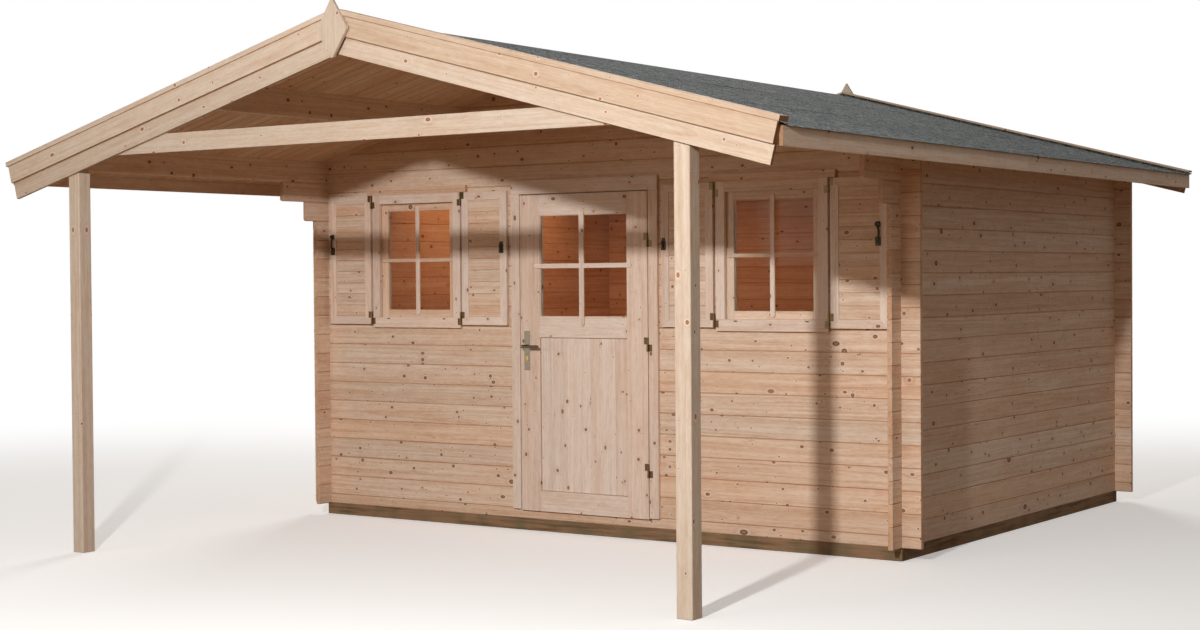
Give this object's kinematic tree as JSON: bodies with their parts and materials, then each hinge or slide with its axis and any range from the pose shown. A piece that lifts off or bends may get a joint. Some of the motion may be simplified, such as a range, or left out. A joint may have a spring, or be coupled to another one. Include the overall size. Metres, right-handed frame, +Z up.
{
  "type": "garden house",
  "caption": "Wooden garden house of interlocking log boards with a felted gable roof, an open front canopy on posts, a half-glazed door and shuttered windows.",
  "frame": {"origin": "on the ground, under the middle of the roof", "axes": "+X to the right along the front, +Y from the front to the back, +Z up"},
  "size_m": [5.046, 5.48, 2.9041],
  "materials": {
    "log_wood": "planed spruce, clear",
    "trim_wood": "planed spruce, clear",
    "joinery_wood": "planed spruce, clear",
    "roof_wood": "planed tongue and groove boards",
    "floor_wood": "planed tongue and groove boards",
    "treated_wood": "pressure treated",
    "felt": "mineral granules",
    "glass": "clear",
    "steel": "satin",
    "bronze": "bronze coloured"
  },
  "bodies": {
    "house": {"cross_sleepers": "treated_wood", "sleepers": "treated_wood", "floor_boards": "floor_wood", "side_wall_left": "log_wood", "side_wall_right": "log_wood", "back_wall": "log_wood", "front_sill_log": "log_wood", "front_wall_left": "log_wood", "front_wall_right": "log_wood", "front_gable": "log_wood", "back_gable": "log_wood", "eave_beams": "log_wood", "middle_purlins": "log_wood", "ridge_purlin": "log_wood", "tie_board": "trim_wood", "posts": "trim_wood", "roof_boards_left": "roof_wood", "roof_boards_right": "roof_wood", "roof_felt_left": "felt", "roof_felt_right": "felt", "fascia_boards": "trim_wood", "front_barge_boards": "trim_wood", "rear_barge_boards": "trim_wood", "front_cover_strips": "trim_wood", "rear_cover_strips": "trim_wood", "finials": "trim_wood", "door_frame": "joinery_wood", "window_frames": "joinery_wood", "window_sashes": "joinery_wood", "window_glass": "glass", "door_hinge_pins": "steel", "shutter_hinge_pins": "bronze"},
    "door": {"door_leaf": "joinery_wood", "door_glass": "glass", "door_hinge_leaves": "steel", "lock_plates": "steel"},
    "lever": {"door_lever": "steel"},
    "shutter_1": {"shutter_1": "joinery_wood", "shutter_1_hinges": "bronze"},
    "shutter_2": {"shutter_2": "joinery_wood", "shutter_2_hinges": "bronze"},
    "shutter_3": {"shutter_3": "joinery_wood", "shutter_3_hinges": "bronze"},
    "shutter_4": {"shutter_4": "joinery_wood", "shutter_4_hinges": "bronze"}
  },
  "joints": [
    {"name": "door_hinge", "type": "hinge", "parent": "house", "child": "door", "pos_m": [0.458, -0.616, 1.07], "axis": [0, 0, 1], "range_deg": [0, 95]},
    {"name": "lever_turn", "type": "hinge", "parent": "door", "child": "lever", "pos_m": [-0.405, -0.5895, 1.104], "axis": [0, 1, 0], "range_deg": [0, 45]},
    {"name": "shutter_1_hinge", "type": "hinge", "parent": "house", "child": "shutter_1", "pos_m": [-1.627, -0.6185, 1.62], "axis": [0, 0, 1], "range_deg": [0, 180]},
    {"name": "shutter_2_hinge", "type": "hinge", "parent": "house", "child": "shutter_2", "pos_m": [-0.905, -0.6185, 1.62], "axis": [0, 0, -1], "range_deg": [0, 180]},
    {"name": "shutter_3_hinge", "type": "hinge", "parent": "house", "child": "shutter_3", "pos_m": [0.905, -0.6185, 1.62], "axis": [0, 0, 1], "range_deg": [0, 180]},
    {"name": "shutter_4_hinge", "type": "hinge", "parent": "house", "child": "shutter_4", "pos_m": [1.627, -0.6185, 1.62], "axis": [0, 0, -1], "range_deg": [0, 180]}
  ]
}
